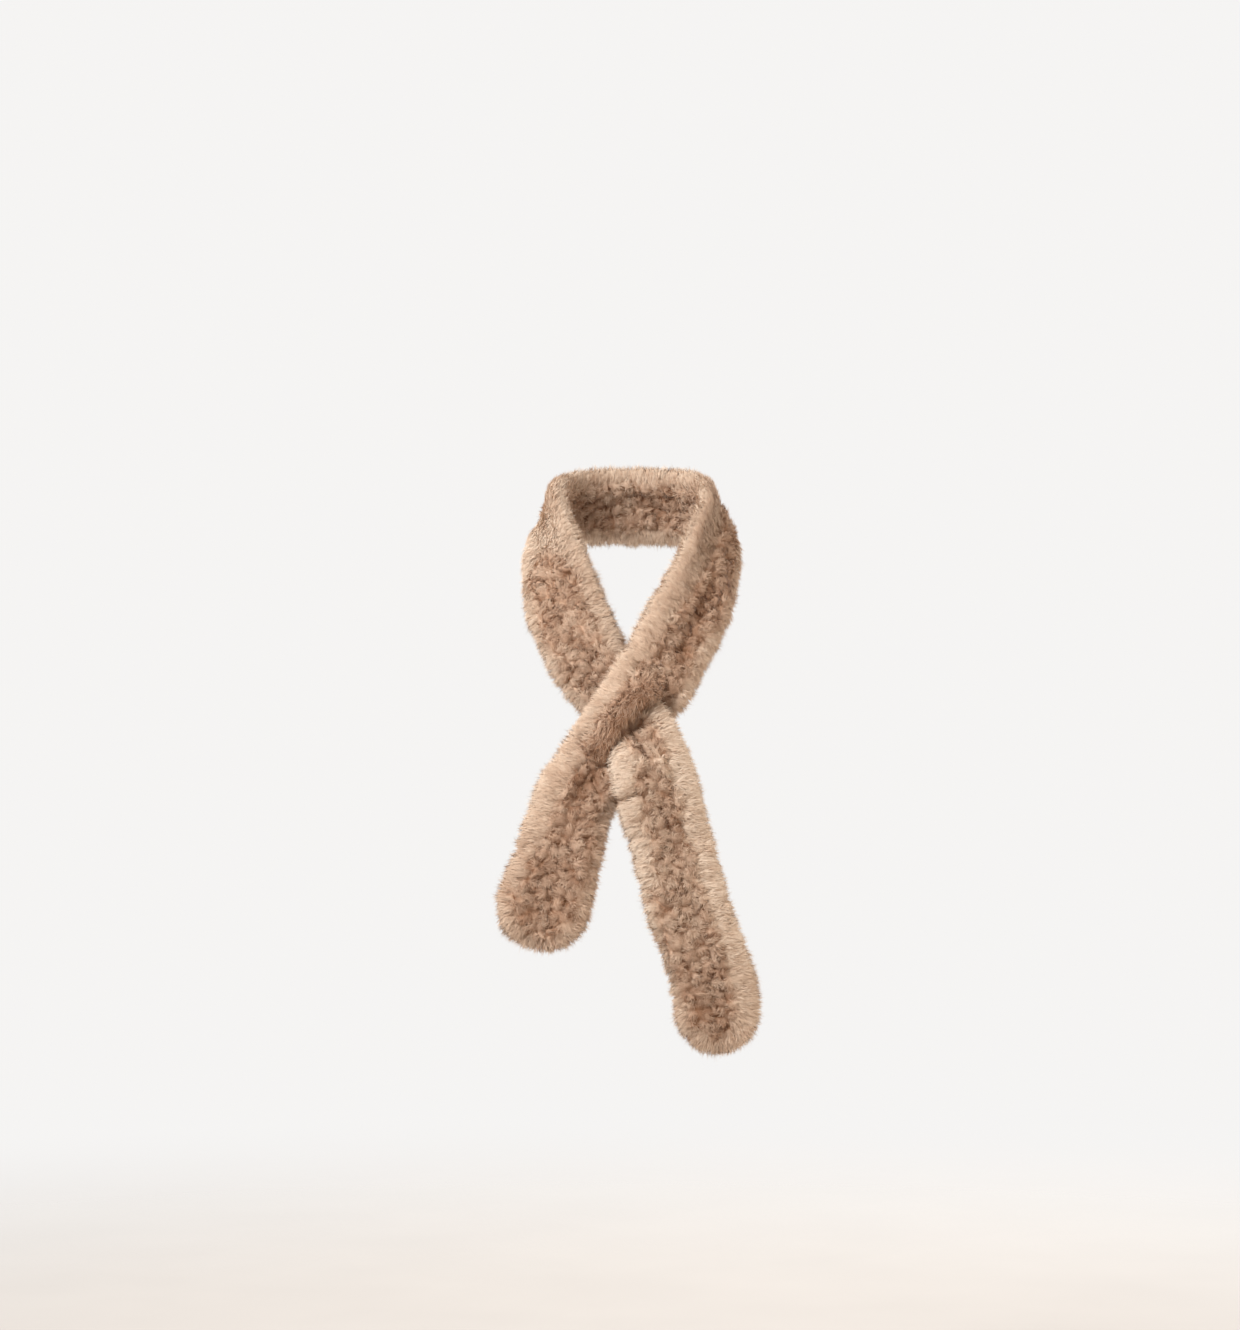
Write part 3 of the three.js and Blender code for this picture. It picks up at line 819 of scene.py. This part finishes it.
def makeSkin(strip):
    rings, points = strip["place"].shape[:2]
    index = np.arange(rings * points).reshape(rings, points)
    right = np.roll(index, -1, 1)
    u = np.arange(points + 1) / points
    v = skin["uvLow"] + skin["uvLong"] * np.arange(rings) / (rings - 1)
    grid = np.stack(np.broadcast_arrays(u[None], v[:, None]), -1)
    quads = np.stack([index[:-1], right[:-1], right[1:], index[1:]], -1).reshape(-1, 4)
    quadUvs = np.stack([grid[:-1, :-1], grid[:-1, 1:], grid[1:, 1:], grid[1:, :-1]], -2).reshape(-1, 4, 2)
    triangles = [quads[:, [0, 1, 2]], quads[:, [0, 2, 3]]]
    uvs = [quadUvs[:, [0, 1, 2]], quadUvs[:, [0, 2, 3]]]
    poleUs = (u[:-1] + u[1:]) / 2
    for pole, ring in ((0, 0), (1, -1)):  # a fan closes each end
        rim = [(index[ring], grid[ring, :-1]), (right[ring], grid[ring, 1:])]
        (second, secondUv), (third, thirdUv) = rim if pole else rim[::-1]
        triangles.append(np.stack([np.full(points, rings * points + pole), second, third], -1))
        uvs.append(np.stack([np.stack([poleUs, np.full(points, pole)], -1), secondUv, thirdUv], 1))
    triangles, uvs = np.concatenate(triangles), np.concatenate(uvs)
    poles = [strip["place"][ring].mean(0) for ring in (0, -1)]
    places = np.concatenate([strip["place"].reshape(-1, 3), poles])
    corner = places[triangles]
    if (corner[:, 0] * np.cross(corner[:, 1], corner[:, 2])).sum() < 0:  # its faces look inwards
        triangles, uvs = triangles[:, ::-1], uvs[:, ::-1]
    tone = np.concatenate([strip["tone"].ravel(), [skin["poleTone"]] * 2])
    return meshFrom(strip["name"] + "_skin", places, triangles, uvs, plushSkin, {"tone": tone})


skins = {name: makeSkin(strip) for name, strip in strips.items()}
print("stage: skins,", sum(len(s.data.polygons) for s in skins.values()), "triangles")

# the fur, in strands of two triangles
fur = {
    "strands": 378000, "seed": 7,  # on the whole band
    "wide": 0.42, "wideVary": (0.75, 1.25), "twist": 0.9,  # at a strand's middle
    "rollLong": 7.5, "tuftLong": 4.7, "edgeLong": 9.5, "slotLong": 9.0,
    "gapShorter": 0.35, "creaseShorter": 0.05, "creaseMost": 4, "lockVary": 0.07,
    # the least share of that length, how much more, and how rarely
    "spread": (0.56, 0.66, 1.5), "rimSpread": (0.47, 0.72, 3.0),
    "rimSpan": (0.85, 0.55), "rimFull": 0.8, "rimThinner": 0.42, "rimStray": 0.3,
    "droop": 0.15,  # how much it hangs down, beside how much it is combed out
    "swayFine": 0.12, "swayWide": 0.28, "combSoft": 0.22,
    "lean": 0.9, "fan": 0.2,  # a tuft's fur leans its own way and fans out
    "lengthwise": 0.95, "slotOut": 0.3,  # at the slot's raw edge it lies lengthwise and hangs down
    "loose": 0.16, "tuftLoose": 0.1,
    "guardShare": 0.03, "guardLonger": 1.2, "guardThinner": 0.7,  # a few longer, paler strands
    "rootDeep": 0.3,
    "rise": {"roll": 0.48, "tuft": 0.85, "tuftSide": 0.35, "slot": 0.45},  # how steeply a strand starts
    "tipRise": {"roll": 0.12, "tuft": 0.45, "tuftSide": 0.4, "slot": 0.12},  # and how it ends
    "rimRise": 0.5, "tipFlat": 1.05, "tipLoose": 1.5,
    "shading": {"skin": 0.78, "rimLess": 0.5, "rim": 0.55, "strand": 0.22, "tuftStrand": 0.2, "root": 0.14},
    "ends": (0.02, 0.98), "uvWide": 0.006,  # of a tone and in the unwrapping
}


def cellAreas(strip):  # twice the area of each cell of the skin, without its closed ends
    p = strip["place"]
    areas = np.linalg.norm(np.cross(np.roll(p, -1, 1)[:-1] - p[:-1], p[1:] - p[:-1]), axis=-1)
    return areas * ~(strip["cap"][:-1] | strip["cap"][1:])[:, None]


def makeFur(strip, count, seed):
    random = np.random.default_rng(seed)
    points = strip["place"].shape[1]
    chance = np.cumsum(cellAreas(strip).ravel())
    picked = np.searchsorted(chance, random.random(count) * chance[-1], side="right")
    ring, point = picked // points, picked % points
    a, b = random.random(count), random.random(count)

    def on(field):  # its value between a cell's four corners
        s, t = (v.reshape((count,) + (1,) * (field.ndim - 2)) for v in (a, b))
        following = np.roll(field, -1, 1)
        return ((field[ring, point] * (1 - t) + following[ring, point] * t) * (1 - s)
                + (field[ring + 1, point] * (1 - t) + following[ring + 1, point] * t) * s)

    def between(rows):  # a direction between a cell's two rings
        return unit(rows[ring] * (1 - a)[:, None] + rows[ring + 1] * a[:, None])

    normal = unit(on(strip["normal"]))
    at = {k: on(strip[k]) for k in ("length", "own", "ownHalf", "across", "outer", "flat")}
    root = on(strip["base"])
    here = surfaceAt(strip, at, root)
    knitted, slotEdge, roundness, gap, crease, tone = (
        here[k][:, None] for k in ("knitted", "slotEdge", "roundness", "gap", "crease", "tone"))
    way, tufts = here["way"], {k: v[:, None] for k, v in here["tufts"].items()}
    root = root + unit(on(strip["baseNormal"])) * here["relief"][:, None]
    along, acrossWay = between(strip["along"]), between(strip["acrossWay"])

    def flatten(v):  # keeps what lies in the skin
        return v - normal * (v * normal).sum(-1, keepdims=True)

    # on the rolls it is combed out to the edge, in uneven locks
    sway = fur["swayFine"] * fieldAt(root, "swayFine") + fur["swayWide"] * fieldAt(root, "swayWide")
    outward = along * way[:, :1] + acrossWay * way[:, 1:]
    crosswise = along * way[:, 1:] - acrossWay * way[:, :1]
    combed = flatten(outward + crosswise * sway[:, None] + np.array([0, 0, -fur["droop"]]))
    combed = combed / (sizeOf(combed) + fur["combSoft"])
    # in a tuft it leans the tuft's own way
    radial = unit(along * tufts["dl"] + acrossWay * tufts["dw"]) * roundness
    lean = 2 * math.pi * tufts["lean"]
    leaning = along * np.cos(lean) + acrossWay * np.sin(lean)
    fanned = flatten(leaning * fur["lean"] + radial * fur["fan"])
    slotWay = fur["slotOut"] if strip["side"] == "over" else -fur["slotOut"]
    hanging = flatten(-along * fur["lengthwise"] + acrossWay * slotWay)
    flatWay = combed * (1 - knitted) + fanned * knitted
    flatWay = flatWay * (1 - slotEdge) + hanging * slotEdge
    loose = flatten(random.normal(0, 1, (count, 3))) * (fur["loose"] + fur["tuftLoose"] * knitted)

    # at the rim, where outward is out of the skin, it stands off as a soft halo
    rim = smoothStep(*fur["rimSpan"], np.abs(at["outer"]))[:, None]
    rim = (1 - np.clip(sizeOf(flatten(outward)) / fur["rimFull"], 0, 1)) * (1 - knitted) * rim

    def risen(form):
        onTuft = form["tuft"] - form["tuftSide"] * roundness
        return (form["roll"] * (1 - knitted) + onTuft * knitted) * (1 - slotEdge) + form["slot"] * slotEdge

    tipRise = risen(fur["tipRise"]) + fur["rimRise"] * rim
    stray = random.normal(0, fur["rimStray"], (count, 1))
    lower = unit(flatWay + loose + normal * risen(fur["rise"]))
    upper = unit(flatWay * fur["tipFlat"] + loose * fur["tipLoose"] + normal * tipRise + along * rim * stray)

    tuftLong = fur["tuftLong"] * (1 - fur["gapShorter"] * gap)
    long = fur["rollLong"] * (1 - knitted) + tuftLong * knitted
    long = long * (1 - slotEdge) + fur["slotLong"] * slotEdge
    long = long * (1 - rim) + fur["edgeLong"] * rim
    chosen = random.random((count, 1))
    faceShare, rimShare = (
        least + more * chosen**power for least, more, power in (fur["spread"], fur["rimSpread"]))
    long = long * (faceShare * (1 - rim) + rimShare * rim)
    long = long * (1 - fur["creaseShorter"] * np.minimum(crease, fur["creaseMost"]))
    long = long * (1 + fur["lockVary"] * fieldAt(root, "lock")[:, None])
    guard = random.random((count, 1)) < fur["guardShare"]
    long = np.where(guard, long * fur["guardLonger"], long)
    middle = root + lower * (long * 0.5)
    tip = middle + upper * (long * 0.5)
    root = root - normal * fur["rootDeep"]
    strandWay = unit(tip - root)
    sideways = unit(np.cross(strandWay, normal))
    sideways = turned(sideways, strandWay, random.uniform(-fur["twist"], fur["twist"], count))
    thin = fur["wide"] * random.uniform(*fur["wideVary"], (count, 1))
    thin = thin * np.where(guard, fur["guardThinner"], 1) * (1 - fur["rimThinner"] * rim)
    right, left = middle + sideways * (thin / 2), middle - sideways * (thin / 2)

    own = toneSetting
    tone = tone + own["strand"] * random.normal(0, 1, (count, 1)) * (1 + own["slotStrand"] * slotEdge)
    # painted light: the halo's strands at the rim are painted paler, as light through the halo
    tone = np.clip(tone + guard * own["guard"] + own["rim"] * rim, *fur["ends"])
    places = np.stack([root, right, left, tip], 1).reshape(-1, 3)
    base = np.arange(count)[:, None] * 4
    faces = np.stack([base + [0, 1, 2], base + [1, 3, 2]], 1).reshape(-1, 3)
    u = tone + fur["uvWide"] * np.array([0, 1, -1, 0])
    v = np.broadcast_to(np.array([fur["ends"][0], 0.5, 0.5, fur["ends"][1]]), u.shape)
    uvs = np.stack([u, v], -1).reshape(-1, 2)[faces.ravel()]
    piece = meshFrom(strip["name"] + "_fur", places, faces, uvs, plushStrands, {
        "tone": np.repeat(tone, 4), "alongStrand": np.tile([0, 0.5, 0.5, 1.0], count)})
    # shaded as the fur's surface, with a little of each strand's own turn
    facing = unit(np.cross(sideways, strandWay))
    mix = fur["shading"]
    softly = unit(normal * (mix["skin"] - mix["rimLess"] * rim) + unit(outward) * mix["rim"] * rim
                  + facing * (mix["strand"] + mix["tuftStrand"] * knitted) + lower * mix["root"])
    piece.data.normals_split_custom_set_from_vertices(np.repeat(softly, 4, 0).astype(np.float32))
    return piece


areas = {name: cellAreas(strip).sum() for name, strip in strips.items()}
allArea = sum(areas.values())
furs = {name: makeFur(strip, round(fur["strands"] * areas[name] / allArea), fur["seed"] + i)
        for i, (name, strip) in enumerate(strips.items())}
print("stage: fur,", sum(len(f.data.polygons) for f in furs.values()), "triangles on", round(allArea), "mm2")

# every piece rides on the root, and a skin with its fur stands for its stretch's solid
cuts = {"slot_over_band": over, "slot_under_band": under}
for name, facts in stretches.items():
    for piece in (skins[name], furs[name]):
        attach(piece, "root")
    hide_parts(name)
    cut = cuts.get(name, wide)
    cut * mm
    (facts["high"] - facts["low"]) * mm

# a pale floor that fades out, a plain backdrop and three soft lights, in metres
studio = {
    "floorZ": -0.78, "floorRadius": 2.5, "floorFade": (0.7, 2.25),
    "floorColours": ((0.60, 0.59, 0.58, 1), (0.65, 0.64, 0.63, 1)),
    "shown": (0.915, 0.905, 0.895, 1), "around": (0.52, 0.465, 0.415, 1),
    "lookAt": (0, -0.1, -0.2),
    "lights": {
        "key": {"place": (-1.4, -1.65, 1.4), "size": 1.6, "power": 76, "colour": (1.0, 0.98, 0.965)},
        "fill": {"place": (2.2, -1.2, -0.3), "size": 1.6, "power": 14, "colour": (1.0, 0.80, 0.63)},
        "back": {"place": (0.9, 2.3, 1.3), "size": 1.8, "power": 62, "colour": (1.0, 0.95, 0.90)},
    },
}

bpy.ops.object.select_all(action="DESELECT")
bpy.ops.mesh.primitive_circle_add(vertices=96, radius=studio["floorRadius"], fill_type="NGON",
                                  location=(0, 0, studio["floorZ"]))
floor = bpy.context.object
floor.name = "floor"
pale = Shader(bpy.data.materials.new("paleFloor"))
where = pale.node("ShaderNodeTexCoord", output="Object")
distance = pale.node("ShaderNodeVectorMath", {"operation": "LENGTH"}, {0: where}, output="Value")
fade = pale.node("ShaderNodeMapRange", {"interpolation_type": "SMOOTHSTEP"}, {
    "Value": distance, "From Min": studio["floorFade"][0], "From Max": studio["floorFade"][1]})
mottle = pale.node("ShaderNodeTexNoise", values={"Vector": where, "Scale": 6, "Detail": 2})
paint = pale.mixed(mottle, *studio["floorColours"])
matt = pale.node("ShaderNodeBsdfPrincipled", values={
    "Base Color": paint, "Roughness": 0.9, "Specular IOR Level": 0.1})
clear = pale.node("ShaderNodeBsdfTransparent")
faded = pale.node("ShaderNodeMixShader", values={0: fade, 1: matt, 2: clear})
floor.data.materials.append(pale.finish(faded))

sky = Shader(bpy.data.worlds.new("studioWorld"), "ShaderNodeOutputWorld")
around, shown = (sky.node("ShaderNodeBackground", values={"Color": studio[k]}) for k in ("around", "shown"))
seen = sky.node("ShaderNodeLightPath", output="Is Camera Ray")
bpy.context.scene.world = sky.finish(sky.node("ShaderNodeMixShader", values={0: seen, 1: around, 2: shown}))

for name, facts in studio["lights"].items():
    bpy.ops.object.light_add(type="AREA", location=facts["place"])
    lamp = bpy.context.object
    lamp.name = name + "Light"
    lamp.data.shape, lamp.data.size = "DISK", facts["size"]
    lamp.data.energy, lamp.data.color = facts["power"], facts["colour"]
    aim = Vector(studio["lookAt"]) - Vector(facts["place"])
    lamp.rotation_euler = aim.to_track_quat("-Z", "Y").to_euler()
bpy.context.scene.view_settings.view_transform = "Standard"
print("stage: floor and light")
